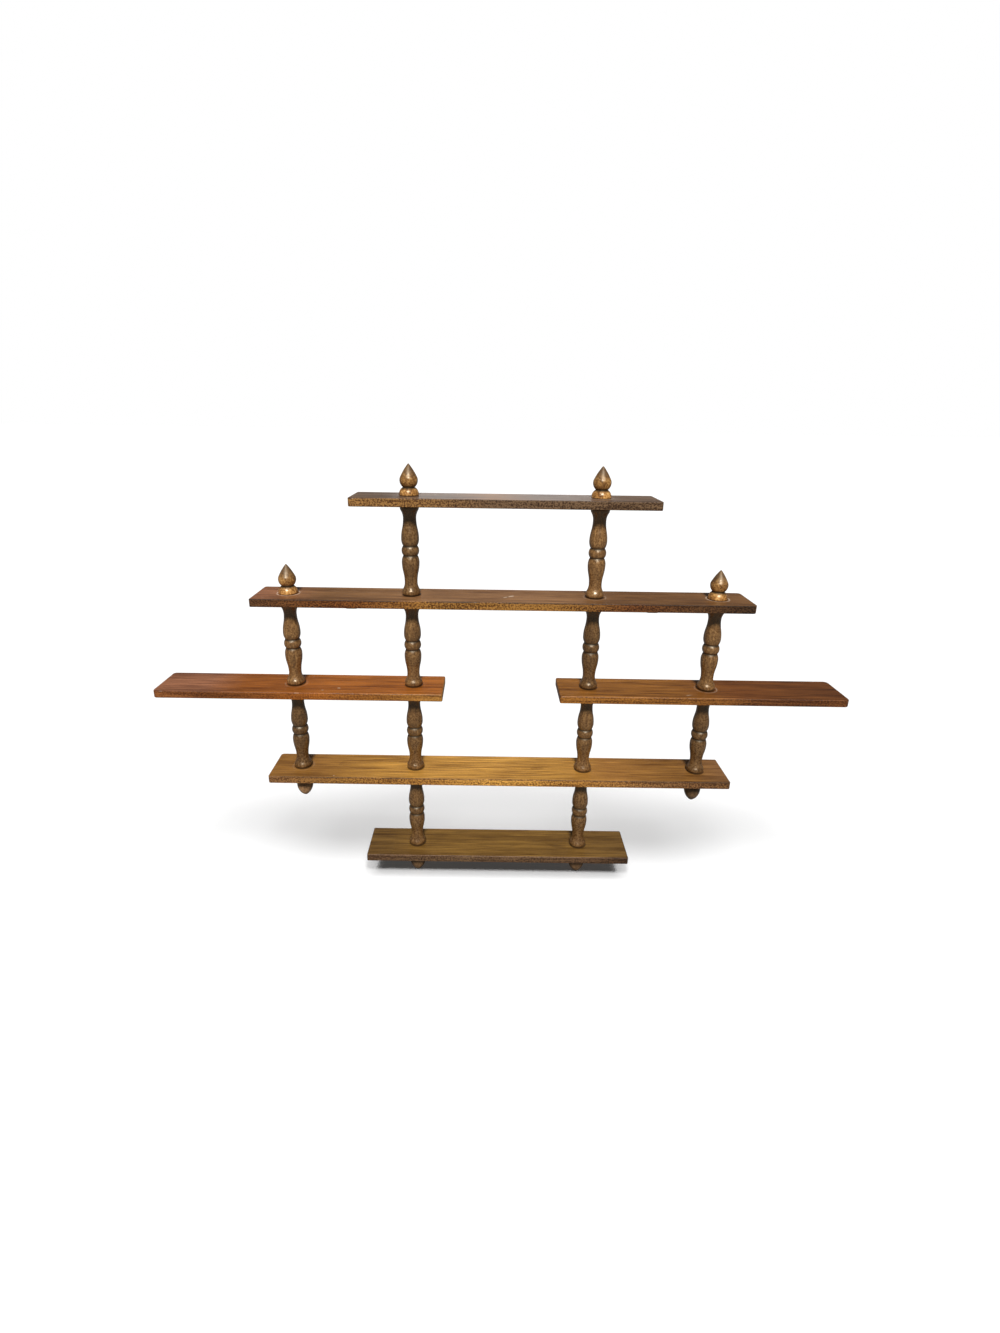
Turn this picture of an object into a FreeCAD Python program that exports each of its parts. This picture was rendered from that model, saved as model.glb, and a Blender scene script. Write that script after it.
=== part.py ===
import FreeCAD, Part
import Sketcher
import os
from math import atan2, sqrt

# Wall curio shelf: thin boards on five levels, held apart by turned spindles.
# Frame in millimetres: +X right, +Z up, front towards -Y, wall plane at y = 0.
# The origin lies on the wall plane, midway between the entry holes of the two hangers.

Vector = FreeCAD.Vector
doc = FreeCAD.newDocument("wall_curio_shelf")

# Driving dimensions
SIZES = {
    "overall_width": 914.4,
    "shelf_depth": 63.5,
    "board_thickness": 10.5,
    "short_shelf_length": 375.0,
    "long_shelf_length": 635.0,
    "middle_shelf_length": 380.0,
    "corner_round": 2.5,
    "edge_round": 0.9,
    "inner_column": 118.0,
    "outer_column": 277.0,
    # spindle, heights counted from its middle
    "spindle_length": 115.5,
    "bead_radius": 11.1,
    "bead_groove_radius": 8.9,
    "bead_groove_height": 6.1,
    "bulge_radius": 11.2,
    "bulge_height": 14.6,
    "neck_radius": 8.2,
    "neck_height": 40.7,
    "collar_radius": 11.8,
    "collar_height": 53.6,
    "flare_share": 0.75,
    "spindle_end_radius": 9.8,
    # finial and drop, heights counted from the board
    "finial_foot_radius": 11.6,
    "finial_collar_radius": 12.2,
    "finial_collar_height": 1.6,
    "finial_groove_radius": 7.3,
    "finial_groove_height": 10.0,
    "finial_bulb_radius": 11.2,
    "finial_bulb_height": 18.4,
    "finial_shoulder_radius": 9.75,
    "finial_shoulder_height": 23.5,
    "finial_height": 38.0,
    "finial_point_bow": 74.0,
    "finial_tip_radius": 0.9,
    "finial_tip_height": 37.5,
    "drop_bulb_height": 18.4,
    "drop_shoulder_radius": 2.4,
    "drop_shoulder_height": 35.9,
    "drop_height": 36.6,
    # double-ended dowel screws
    "screw_radius": 2.4,
    "screw_play": 0.05,
    "screw_point": 4.0,
    "screw_hole_spare": 1.0,
    "screw_in_spindle": 15.24,
    "screw_in_finial": 15.0,
    "board_hole_radius": 2.6,
    # keyhole hangers on the back edge of the upper board
    "hanger_spacing": 406.4,
    "hanger_width": 16.0,
    "hanger_thickness": 1.5,
    "hanger_corner": 2.0,
    "hanger_on_board": 7.0,
    "hanger_play": 0.1,
    "keyhole_entry_radius": 4.25,
    "keyhole_slot_radius": 2.25,
    "keyhole_drop": 12.0,
    "keyhole_rise": 6.8,
    "keyhole_margin": 2.6,
    "hanger_screw_radius": 1.45,
    "hanger_screw_head_radius": 2.75,
    "hanger_screw_length": 12.0,
    "hanger_screw_point": 3.0,
    "hanger_screw_spread": 9.0,
    "hanger_screw_height": 3.5,
}

sheet = doc.addObject("Spreadsheet::Sheet", "Sizes")
for row, (alias, value) in enumerate(SIZES.items(), start=1):
    sheet.set(f"A{row}", str(value))
    sheet.setAlias(f"A{row}", alias)
doc.recompute()

# Formulas that several pieces share
LEVEL_PITCH = "(Sizes.spindle_length + Sizes.board_thickness)"
SPINDLE_END = "Sizes.spindle_length / 2"
COLUMN_DEPTH = "-Sizes.shelf_depth / 2"
SCREW_HOLE = "Sizes.screw_radius + Sizes.screw_play"
HANGER_HOLE = "Sizes.hanger_screw_radius + Sizes.screw_play"
COUNTERSINK = "Sizes.hanger_screw_head_radius - Sizes.hanger_screw_radius"
POINT_BOW = "Sizes.finial_point_bow"

# Upright columns of spindles, from left to right
COLUMNS = {
    "outer_left": "-Sizes.outer_column",
    "inner_left": "-Sizes.inner_column",
    "inner_right": "Sizes.inner_column",
    "outer_right": "Sizes.outer_column",
}
EVERY = list(COLUMNS)
INNER = ["inner_left", "inner_right"]
OUTER = ["outer_left", "outer_right"]

# Levels of the boards, counted downwards from the upper board that hangs on the wall
TOP, UPPER, MIDDLE, LOWER, BOTTOM = -1, 0, 1, 2, 3

UPSIDE_DOWN = FreeCAD.Rotation(Vector(1, 0, 0), 180)
HEAD_TO_WALL = FreeCAD.Rotation(Vector(1, 0, 0), -90)


def number(formula):
    return float(sheet.evalExpression(formula))


def board_underside(level):
    return f"Sizes.keyhole_drop - ({level}) * {LEVEL_PITCH}"


def board_top(level):
    return f"{board_underside(level)} + Sizes.board_thickness"


def origin_plane(body, role):
    return next(plane for plane in body.Origin.OriginFeatures if plane.Role == role)


def new_body(name):
    body = doc.addObject("PartDesign::Body", name)
    body.Label = name
    return body


def new_sketch(body, name, plane):
    sketch = body.newObject("Sketcher::SketchObject", f"{body.Name}_{name}")
    sketch.AttachmentSupport = (origin_plane(body, plane), [""])
    sketch.MapMode = "FlatFace"
    return sketch


def place(body, x, y, z, turn=FreeCAD.Rotation()):
    body.Placement = FreeCAD.Placement(Vector(), turn)
    for axis, formula in zip("xyz", (x, y, z)):
        body.setExpression(f"Placement.Base.{axis}", formula)


def bind(sketch, constraint, formula):
    index = sketch.addConstraint(constraint)
    sketch.setExpression(f"Constraints[{index}]", formula)


def pin_point(sketch, edge, end, x, y):
    # a point of the sketch at formulas x and y; the formula "0" puts it on that axis
    for formula, kind, axis in ((x, "DistanceX", -2), (y, "DistanceY", -1)):
        if formula == "0":
            sketch.addConstraint(Sketcher.Constraint("PointOnObject", edge, end, axis))
        else:
            bind(sketch, Sketcher.Constraint(kind, -1, 1, edge, end, number(formula)), formula)


def arc_between(start, end, centre):
    # the arc of less than a full half turn, or the left-hand half circle
    first = atan2(start.y - centre.y, start.x - centre.x)
    last = atan2(end.y - centre.y, end.x - centre.x)
    leftwards = (start - centre).cross(end - centre).z > -1e-9
    circle = Part.Circle(centre, Vector(0, 0, 1), start.distanceToPoint(centre))
    return Part.ArcOfCircle(circle, first, last) if leftwards else Part.ArcOfCircle(circle, last, first)


def centre_level_with(crest, other):
    # centre of the arc that runs upright at its crest and passes through the other point
    run = crest.x - other.x
    radius = (run * run + (other.y - crest.y) ** 2) / (2 * run)
    return Vector(crest.x - radius, crest.y, 0)


def centre_on_axis(start, tip):
    height = (tip.y**2 - start.y**2 - start.x**2) / (2 * (tip.y - start.y))
    return Vector(0, height, 0)


def centre_of_bow(start, end, radius):
    # centre of a shallow arc that swells to the right on its way from start to end
    chord = end - start
    towards = Vector(-chord.y, chord.x, 0).normalize()
    return (start + end) / 2 + towards * sqrt(radius**2 - (chord.Length / 2) ** 2)


def draw_outline(sketch, outline):
    # rows of x, y and the way to the next row: a straight line, an arc that runs upright
    # where it leaves or where it arrives, a nose rounded about the axis, or a slightly bowed point
    points = [Vector(number(x), number(y), 0) for x, y, way in outline]
    ends = []
    for index, (x, y, way) in enumerate(outline):
        start, end = points[index], points[(index + 1) % len(points)]
        if way == "line":
            ends.append((sketch.addGeometry(Part.LineSegment(start, end), False), 1, 2))
            continue
        centres = {
            "upright here": lambda: centre_level_with(start, end),
            "upright there": lambda: centre_level_with(end, start),
            "nose": lambda: centre_on_axis(start, end),
            "bowed": lambda: centre_of_bow(start, end, number(POINT_BOW)),
        }
        arc = arc_between(start, end, centres[way]())
        edge = sketch.addGeometry(arc, False)
        first, last = (1, 2) if arc.StartPoint.isEqual(start, 1e-6) else (2, 1)
        ends.append((edge, first, last))
        if way == "nose":
            sketch.addConstraint(Sketcher.Constraint("PointOnObject", edge, 3, -2))
        elif way == "bowed":
            bind(sketch, Sketcher.Constraint("Radius", edge, number(POINT_BOW)), POINT_BOW)
        else:
            crest = first if way == "upright here" else last
            sketch.addConstraint(Sketcher.Constraint("Horizontal", edge, 3, edge, crest))
    for index, (x, y, way) in enumerate(outline):
        edge, first, last = ends[index]
        before, before_first, before_last = ends[index - 1]
        sketch.addConstraint(Sketcher.Constraint("Coincident", before, before_last, edge, first))
        pin_point(sketch, edge, first, x, y)


def draw_circle(sketch, x, y, radius):
    circle = Part.Circle(Vector(number(x), number(y), 0), Vector(0, 0, 1), number(radius))
    ring = sketch.addGeometry(circle, False)
    bind(sketch, Sketcher.Constraint("Radius", ring, number(radius)), radius)
    pin_point(sketch, ring, 3, x, y)


def rectangle(left, right, bottom, top):
    corners = [(left, bottom), (right, bottom), (right, top), (left, top)]
    return [(x, y, "line") for x, y in corners]


def pad(body, sketch, name, length):
    block = body.newObject("PartDesign::Pad", f"{body.Name}_{name}")
    block.Profile = sketch
    block.setExpression("Length", length)
    doc.recompute()
    return block


def pocket(body, sketch, name, depth=None):
    # cuts from the sketch into the block that was raised from the same plane, or right through it
    before = body.Shape.Volume
    hollow = body.newObject("PartDesign::Pocket", f"{body.Name}_{name}")
    hollow.Profile = sketch
    hollow.Reversed = True
    if depth:
        hollow.setExpression("Length", depth)
    else:
        hollow.Type = "ThroughAll"
    doc.recompute()
    if body.Shape.Volume >= before:
        raise RuntimeError(f"{hollow.Name} takes nothing away")
    return hollow


def ease_edges(body, base, kind, name, size_name, size, wanted):
    # a Fillet or a Chamfer on the edges of the base that are wanted
    edges = [f"Edge{i}" for i, edge in enumerate(base.Shape.Edges, start=1) if wanted(edge)]
    eased = body.newObject(f"PartDesign::{kind}", f"{body.Name}_{name}")
    eased.Base = (base, edges)
    eased.setExpression(size_name, size)
    doc.recompute()
    return eased


def turned(name, outline, mirrored=False):
    # a piece turned about its own upright axis; a mirrored one repeats below its middle
    body = new_body(name)
    profile = new_sketch(body, "profile", "XZ_Plane")
    draw_outline(profile, outline)
    turning = body.newObject("PartDesign::Revolution", f"{name}_turning")
    turning.Profile = profile
    turning.ReferenceAxis = (profile, ["V_Axis"])
    turning.Angle = 360
    if mirrored:
        halves = body.newObject("PartDesign::Mirrored", f"{name}_halves")
        halves.Originals = [turning]
        halves.MirrorPlane = (origin_plane(body, "XY_Plane"), [""])
        body.Tip = halves
    return body


# Shelf boards
def is_upright(edge):
    return edge.BoundBox.ZLength > number("Sizes.board_thickness / 2")


def shelf(name, length, level, columns, centre="0"):
    # a flat board with rounded corners and softened edges, and a screw hole at each column
    body = new_body(name)
    plan = new_sketch(body, "plan", "XY_Plane")
    draw_outline(plan, rectangle(f"-{length} / 2", f"{length} / 2", "-Sizes.shelf_depth", "0"))
    board = pad(body, plan, "board", "Sizes.board_thickness")
    corners = ease_edges(body, board, "Fillet", "corners", "Radius", "Sizes.corner_round", is_upright)
    ease_edges(
        body, corners, "Fillet", "edges", "Radius", "Sizes.edge_round", lambda edge: not is_upright(edge)
    )
    holes = new_sketch(body, "holes", "XY_Plane")
    for column in columns:
        draw_circle(holes, f"{COLUMNS[column]} - ({centre})", COLUMN_DEPTH, "Sizes.board_hole_radius")
    pocket(body, holes, "screw_holes")
    place(body, centre, "0", board_underside(level))
    return body


# Hangers
HANGER_PLACES = {"left": "-Sizes.hanger_spacing / 2", "right": "Sizes.hanger_spacing / 2"}
HANGER_SCREW_OFFSETS = ["-Sizes.hanger_screw_spread / 2", "Sizes.hanger_screw_spread / 2"]


def let_in_hangers(board):
    # a shallow housing for each hanger in the back edge, open below, and pilot holes for its screws
    reach = "(Sizes.hanger_width / 2 + Sizes.hanger_play)"
    top = "Sizes.hanger_on_board + Sizes.hanger_play"
    for side, middle in HANGER_PLACES.items():
        housing = new_sketch(board, f"housing_{side}", "XZ_Plane")
        draw_outline(housing, rectangle(f"{middle} - {reach}", f"{middle} + {reach}", "0", top))
        pocket(board, housing, f"housing_cut_{side}", "Sizes.hanger_thickness")
        pilots = new_sketch(board, f"pilots_{side}", "XZ_Plane")
        for offset in HANGER_SCREW_OFFSETS:
            draw_circle(pilots, f"{middle} + {offset}", "Sizes.hanger_screw_height", HANGER_HOLE)
        pocket(board, pilots, f"pilot_cut_{side}", "Sizes.hanger_screw_length + Sizes.screw_hole_spare")


def hanger(name, middle):
    # a flat steel plate, screwed to the board at its upper end, with a keyhole below the board
    body = new_body(name)
    plan = new_sketch(body, "plan", "XZ_Plane")
    half_width = "Sizes.hanger_width / 2"
    foot = "-Sizes.keyhole_entry_radius - Sizes.keyhole_margin"
    head = "Sizes.keyhole_drop + Sizes.hanger_on_board"
    draw_outline(plan, rectangle(f"-{half_width}", half_width, foot, head))
    plate = pad(body, plan, "plate", "Sizes.hanger_thickness")
    thickness = number("Sizes.hanger_thickness")
    ease_edges(
        body,
        plate,
        "Fillet",
        "corners",
        "Radius",
        "Sizes.hanger_corner",
        lambda edge: abs(edge.BoundBox.YLength - thickness) < 1e-3,
    )
    entry = new_sketch(body, "entry", "XZ_Plane")
    draw_circle(entry, "0", "0", "Sizes.keyhole_entry_radius")
    pocket(body, entry, "keyhole_entry")
    slot = new_sketch(body, "slot", "XZ_Plane")
    slot_half = "Sizes.keyhole_slot_radius"
    slot_outline = [
        (f"-{slot_half}", "0", "line"),
        (slot_half, "0", "line"),
        (slot_half, "Sizes.keyhole_rise", "upright here"),
        (f"-{slot_half}", "Sizes.keyhole_rise", "line"),
    ]
    draw_outline(slot, slot_outline)
    pocket(body, slot, "keyhole_slot")
    holes = new_sketch(body, "screw_holes", "XZ_Plane")
    for offset in HANGER_SCREW_OFFSETS:
        draw_circle(holes, offset, "Sizes.keyhole_drop + Sizes.hanger_screw_height", HANGER_HOLE)
    drilled = pocket(body, holes, "screw_hole_cut")
    hole_radius = number(HANGER_HOLE)

    def is_hole_rim_at_wall(edge):
        is_round = isinstance(edge.Curve, Part.Circle) and abs(edge.Curve.Radius - hole_radius) < 1e-6
        return is_round and abs(edge.CenterOfMass.y) < 1e-6

    ease_edges(body, drilled, "Chamfer", "countersinks", "Size", COUNTERSINK, is_hole_rim_at_wall)
    place(body, middle, "0", "0")
    return body


# Outlines of the turned pieces
def between(start, end, share):
    return f"Sizes.{start} + (Sizes.{end} - Sizes.{start}) * {share}"


# Upper half of a spindle, from its middle bead to the screw hole in its end
SPINDLE_HOLE_FLOOR = f"{SPINDLE_END} - Sizes.screw_in_spindle - Sizes.screw_hole_spare"
SWELL = (between("bulge_radius", "neck_radius", "0.5"), between("bulge_height", "neck_height", "0.5"))
FLARE = (
    between("neck_radius", "collar_radius", "Sizes.flare_share"),
    between("neck_height", "collar_height", "Sizes.flare_share"),
)
SPINDLE_OUTLINE = [
    ("0", "0", "line"),
    ("Sizes.bead_radius", "0", "upright here"),
    ("Sizes.bead_groove_radius", "Sizes.bead_groove_height", "upright there"),
    ("Sizes.bulge_radius", "Sizes.bulge_height", "upright here"),
    (*SWELL, "upright there"),
    ("Sizes.neck_radius", "Sizes.neck_height", "upright here"),
    (*FLARE, "upright there"),
    ("Sizes.collar_radius", "Sizes.collar_height", "upright here"),
    ("Sizes.spindle_end_radius", SPINDLE_END, "line"),
    (SCREW_HOLE, SPINDLE_END, "line"),
    (SCREW_HOLE, SPINDLE_HOLE_FLOOR, "line"),
    ("0", SPINDLE_HOLE_FLOOR, "line"),
]

# Finial and drop standing on their foot, with the screw hole below
FINIAL_HOLE_FLOOR = "Sizes.screw_in_finial + Sizes.screw_hole_spare"
FINIAL_FOOT = [
    ("0", FINIAL_HOLE_FLOOR, "line"),
    (SCREW_HOLE, FINIAL_HOLE_FLOOR, "line"),
    (SCREW_HOLE, "0", "line"),
    ("Sizes.finial_foot_radius", "0", "upright there"),
    ("Sizes.finial_collar_radius", "Sizes.finial_collar_height", "upright here"),
    ("Sizes.finial_groove_radius", "Sizes.finial_groove_height", "upright there"),
]
FINIAL_OUTLINE = FINIAL_FOOT + [
    ("Sizes.finial_bulb_radius", "Sizes.finial_bulb_height", "upright here"),
    ("Sizes.finial_shoulder_radius", "Sizes.finial_shoulder_height", "bowed"),
    ("Sizes.finial_tip_radius", "Sizes.finial_tip_height", "nose"),
    ("0", "Sizes.finial_height", "line"),
]
DROP_OUTLINE = FINIAL_FOOT + [
    ("Sizes.finial_bulb_radius", "Sizes.drop_bulb_height", "upright here"),
    ("Sizes.drop_shoulder_radius", "Sizes.drop_shoulder_height", "nose"),
    ("0", "Sizes.drop_height", "line"),
]


def dowel_screw_outline(reach):
    # pointed at both ends; zero is one face of the board, with the other face below it
    low = "-Sizes.board_thickness - Sizes.screw_in_spindle"
    return [
        ("0", low, "line"),
        ("Sizes.screw_radius", f"{low} + Sizes.screw_point", "line"),
        ("Sizes.screw_radius", f"{reach} - Sizes.screw_point", "line"),
        ("0", reach, "line"),
    ]


HANGER_SCREW_OUTLINE = [
    ("0", "-Sizes.hanger_screw_length", "line"),
    ("Sizes.hanger_screw_radius", "Sizes.hanger_screw_point - Sizes.hanger_screw_length", "line"),
    ("Sizes.hanger_screw_radius", f"-({COUNTERSINK})", "line"),
    ("Sizes.hanger_screw_head_radius", "0", "line"),
    ("0", "0", "line"),
]


def group(name, members):
    # identical fasteners kept together as separate solids
    bundle = doc.addObject("Part::Compound", name)
    bundle.Label = name
    bundle.Links = members
    return bundle


# Assembly, from the top board down
middle_offset = "(Sizes.overall_width - Sizes.middle_shelf_length) / 2"
upper_board = shelf("shelf_upper", "Sizes.long_shelf_length", UPPER, EVERY)
let_in_hangers(upper_board)
parts = [
    shelf("shelf_top", "Sizes.short_shelf_length", TOP, INNER),
    upper_board,
    shelf("shelf_middle_left", "Sizes.middle_shelf_length", MIDDLE, EVERY[:2], f"-{middle_offset}"),
    shelf("shelf_middle_right", "Sizes.middle_shelf_length", MIDDLE, EVERY[2:], middle_offset),
    shelf("shelf_lower", "Sizes.long_shelf_length", LOWER, EVERY),
    shelf("shelf_bottom", "Sizes.short_shelf_length", BOTTOM, INNER),
]

# Each row of spindles stands on the board at that level
SPINDLE_ROWS = {1: (UPPER, INNER), 2: (MIDDLE, EVERY), 3: (LOWER, EVERY), 4: (BOTTOM, INNER)}
for row, (level, columns) in SPINDLE_ROWS.items():
    for column in columns:
        spindle = turned(f"spindle_{row}_{column}", SPINDLE_OUTLINE, mirrored=True)
        place(spindle, COLUMNS[column], COLUMN_DEPTH, f"{board_top(level)} + {SPINDLE_END}")
        parts.append(spindle)

# Finials stand on the ends of the columns, drops hang under them, each with its own screw
FINIAL_LEVELS = {"inner_left": TOP, "inner_right": TOP, "outer_left": UPPER, "outer_right": UPPER}
DROP_LEVELS = {"inner_left": BOTTOM, "inner_right": BOTTOM, "outer_left": LOWER, "outer_right": LOWER}
finial_screw = dowel_screw_outline("Sizes.screw_in_finial")
for column in EVERY:
    for name, outline in (("finial", FINIAL_OUTLINE), ("finial_screw", finial_screw)):
        piece = turned(f"{name}_{column}", outline)
        place(piece, COLUMNS[column], COLUMN_DEPTH, board_top(FINIAL_LEVELS[column]))
        parts.append(piece)
    for name, outline in (("drop", DROP_OUTLINE), ("drop_screw", finial_screw)):
        piece = turned(f"{name}_{column}", outline)
        place(piece, COLUMNS[column], COLUMN_DEPTH, board_underside(DROP_LEVELS[column]), UPSIDE_DOWN)
        parts.append(piece)

# Screws that join spindle to spindle through the boards between them
COLUMN_JOINTS = {UPPER: INNER, MIDDLE: EVERY, LOWER: INNER}
column_screws = []
for level, columns in COLUMN_JOINTS.items():
    for column in columns:
        screw = turned(f"column_screw_{level}_{column}", dowel_screw_outline("Sizes.screw_in_spindle"))
        place(screw, COLUMNS[column], COLUMN_DEPTH, board_top(level))
        column_screws.append(screw)
parts.append(group("column_screws", column_screws))

# Hangers and their screws
hanger_screws = []
for side, middle in HANGER_PLACES.items():
    parts.append(hanger(f"hanger_{side}", middle))
    for index, offset in enumerate(HANGER_SCREW_OFFSETS, start=1):
        screw = turned(f"hanger_screw_{side}_{index}", HANGER_SCREW_OUTLINE)
        height = "Sizes.keyhole_drop + Sizes.hanger_screw_height"
        place(screw, f"{middle} + {offset}", "0", height, HEAD_TO_WALL)
        hanger_screws.append(screw)
parts.append(group("hanger_screws", hanger_screws))

doc.recompute()

# Nothing is written unless every object is sound
failed = [item.Name for item in doc.Objects if {"Invalid", "Error"} & set(item.State)]
failed += [part.Label for part in parts if part.Shape.isNull() or not part.Shape.isValid()]
if failed:
    raise RuntimeError(f"failed objects: {failed}")

os.makedirs("parts", exist_ok=True)
for part in parts:
    part.Shape.exportStep(f"parts/{part.Label}.step")

box = FreeCAD.BoundBox()
for part in parts:
    box.add(part.Shape.BoundBox)
print(f"{len(parts)} nodes, overall {box.XLength:.1f} x {box.YLength:.1f} x {box.ZLength:.1f} mm")
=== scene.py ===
import bpy
import bmesh
import math
from mathutils import Matrix, Vector


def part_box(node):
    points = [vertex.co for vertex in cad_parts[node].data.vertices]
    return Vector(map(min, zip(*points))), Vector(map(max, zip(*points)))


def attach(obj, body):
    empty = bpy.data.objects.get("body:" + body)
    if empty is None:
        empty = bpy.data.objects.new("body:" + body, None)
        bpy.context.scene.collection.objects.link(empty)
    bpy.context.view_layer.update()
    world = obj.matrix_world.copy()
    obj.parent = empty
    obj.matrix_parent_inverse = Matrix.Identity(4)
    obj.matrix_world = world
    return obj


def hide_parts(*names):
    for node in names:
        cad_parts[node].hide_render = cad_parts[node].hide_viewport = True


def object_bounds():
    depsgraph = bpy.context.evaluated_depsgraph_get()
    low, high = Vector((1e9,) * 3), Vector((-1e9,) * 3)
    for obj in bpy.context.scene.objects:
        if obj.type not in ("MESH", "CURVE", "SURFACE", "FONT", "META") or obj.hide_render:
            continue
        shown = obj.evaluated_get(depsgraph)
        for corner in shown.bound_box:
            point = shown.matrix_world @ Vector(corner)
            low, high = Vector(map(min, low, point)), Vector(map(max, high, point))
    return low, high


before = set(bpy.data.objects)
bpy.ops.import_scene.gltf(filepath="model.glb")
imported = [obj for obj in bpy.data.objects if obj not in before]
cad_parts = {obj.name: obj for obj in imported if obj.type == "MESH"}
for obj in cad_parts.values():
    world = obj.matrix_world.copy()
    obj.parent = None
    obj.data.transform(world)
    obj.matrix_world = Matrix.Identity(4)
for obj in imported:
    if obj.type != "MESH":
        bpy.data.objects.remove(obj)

# wall curio shelf: lacquered boards held apart by turned spindles
# metres, +X right, +Z up, front towards -Y, wall plane at y = 0
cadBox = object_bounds()
mm = 0.001
onLine = 0.1 * mm  # a point this near to a line or plane lies on it
mergeGap = 0.001 * mm  # points this near to each other are one


def middleOf(node):
    low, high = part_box(node)
    return (low + high) / 2


columnNames = ["outer_left", "inner_left", "inner_right", "outer_right"]
columns = {name: middleOf(f"spindle_2_{name}") for name in columnNames}


# small modelling helpers
def deselectAll():
    if bpy.context.mode != "OBJECT":
        bpy.ops.object.mode_set(mode="OBJECT")
    bpy.ops.object.select_all(action="DESELECT")


def makeActive(piece):
    deselectAll()
    piece.select_set(True)
    bpy.context.view_layer.objects.active = piece


def pickEdges(piece, wanted):
    # in edit mode, leaves only those edges selected whose two ends pass the test
    bpy.ops.mesh.select_mode(type="EDGE")
    bpy.ops.mesh.select_all(action="DESELECT")
    net = bmesh.from_edit_mesh(piece.data)
    for edge in net.edges:
        if wanted(edge.verts[0].co, edge.verts[1].co):
            edge.select_set(True)
    bmesh.update_edit_mesh(piece.data)


def pickPoints(piece, wanted):
    bpy.ops.mesh.select_mode(type="VERT")
    bpy.ops.mesh.select_all(action="DESELECT")
    net = bmesh.from_edit_mesh(piece.data)
    for point in net.verts:
        if wanted(point.co):
            point.select_set(True)
    net.select_flush_mode()
    bmesh.update_edit_mesh(piece.data)


def cutAway(piece, tool):
    cut = piece.modifiers.new("cut", "BOOLEAN")
    cut.operation = "DIFFERENCE"
    cut.solver = "EXACT"
    cut.object = tool
    makeActive(piece)
    bpy.ops.object.modifier_apply(modifier=cut.name)
    bpy.data.objects.remove(tool)


def addBlock(low, high):
    deselectAll()
    bpy.ops.mesh.primitive_cube_add(size=1.0, location=(low + high) / 2)
    block = bpy.context.object
    block.scale = high - low
    bpy.ops.object.transform_apply(location=True, rotation=False, scale=True)
    return block


def finishShading(piece, angle):
    makeActive(piece)
    bpy.ops.object.shade_smooth_by_angle(angle=math.radians(angle))


def handOver(piece, node, body, material):
    # the finished piece stands for its solid and moves with the solid's body
    piece.name = "dressed_" + node
    piece.data.name = piece.name
    piece.data.materials.clear()
    piece.data.materials.append(material)
    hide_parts(node)
    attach(piece, body)


# shader helper
class Shade:
    # a shader socket that takes part in sums as a number does
    def __init__(self, tree, socket):
        self.tree = tree
        self.socket = socket

    def node(self, kind, settings=None, sockets=None, output=0):
        made = self.tree.nodes.new("ShaderNode" + kind)
        for key, value in (settings or {}).items():
            if key == "stops":
                self.setStops(made.color_ramp, value)
            else:
                setattr(made, key, value)
        for key, value in (sockets or {}).items():
            if isinstance(value, Shade):
                self.tree.links.new(value.socket, made.inputs[key])
            else:
                made.inputs[key].default_value = value
        return Shade(self.tree, made.outputs[output])

    def setStops(self, ramp, stops):
        while len(ramp.elements) < len(stops):
            ramp.elements.new(1.0)
        for stop, (place, colour) in zip(ramp.elements, stops):
            stop.position = place
            stop.color = (*colour, 1.0)

    def math(self, operation, first, second=0.0):
        return self.node("Math", {"operation": operation}, {0: first, 1: second})

    def __add__(self, other):
        return self.math("ADD", self, other)

    def __radd__(self, other):
        return self.math("ADD", other, self)

    def __sub__(self, other):
        return self.math("SUBTRACT", self, other)

    def __rsub__(self, other):
        return self.math("SUBTRACT", other, self)

    def __mul__(self, other):
        return self.math("MULTIPLY", self, other)

    def __rmul__(self, other):
        return self.math("MULTIPLY", other, self)

    def __truediv__(self, other):
        return self.math("DIVIDE", self, other)

    def __pow__(self, power):
        return self.math("POWER", self, power)

    def larger(self, other):
        return self.math("MAXIMUM", self, other)

    def rise(self, low, high):
        # 0 at low, 1 at high, smooth between, also where low lies above high
        return self.node("MapRange", {"interpolation_type": "SMOOTHSTEP"}, {0: self, 1: low, 2: high})

    def tint(self, stops):
        return self.node("ValToRGB", {"stops": stops}, {0: self})

    def blend(self, under, over):
        # lays one colour over another, as strongly as this value says
        return self.node("Mix", {"data_type": "RGBA"}, {0: self, 6: under, 7: over}, 2)

    def times(self, other):
        # this colour multiplied by another
        sockets = {0: 1.0, 6: self, 7: other}
        return self.node("Mix", {"data_type": "RGBA", "blend_type": "MULTIPLY"}, sockets, 2)

    def grey(self):
        return self.node("CombineColor", {}, {0: self, 1: self, 2: self})

    def parts(self):
        split = self.node("SeparateXYZ", {}, {0: self}).socket.node
        return [Shade(self.tree, output) for output in split.outputs]

    def attribute(self, name):
        # a value that the mesh keeps for each of its points
        return self.node("Attribute", {"attribute_name": name}, {}, 2)

    def bump(self, strength, distance):
        # this value as a relief, so many millimetres high
        return self.node("Bump", {}, {"Strength": strength, "Distance": distance * mm, "Height": self})

    def noise(self, x, y, z, detail=2.0, rough=0.5):
        # cloudy values round zero with so many patches per metre along each axis
        scaled = self.node("VectorMath", {"operation": "MULTIPLY"}, {0: self, 1: (x, y, z)})
        sockets = {"Vector": scaled, "Scale": 1.0, "Detail": detail, "Roughness": rough}
        return self.node("TexNoise", {}, sockets) - 0.5

    def noises(self, plan):
        return {name: self.noise(*patches) for name, patches in plan.items()}

    def specks(self, span):
        # hardens a noise into light and dark specks
        return self.rise(-span, span) - 0.5


def rgba(colour):
    return (*colour, 1.0)


def newFinish(name):
    # gives the material, its Object coordinates and its Principled shader
    material = bpy.data.materials.new(name)
    material.use_nodes = True
    tree = material.node_tree
    shader = tree.nodes["Principled BSDF"]
    place = Shade(tree, tree.nodes.new("ShaderNodeTexCoord").outputs["Object"])
    return material, place, shader


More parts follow.
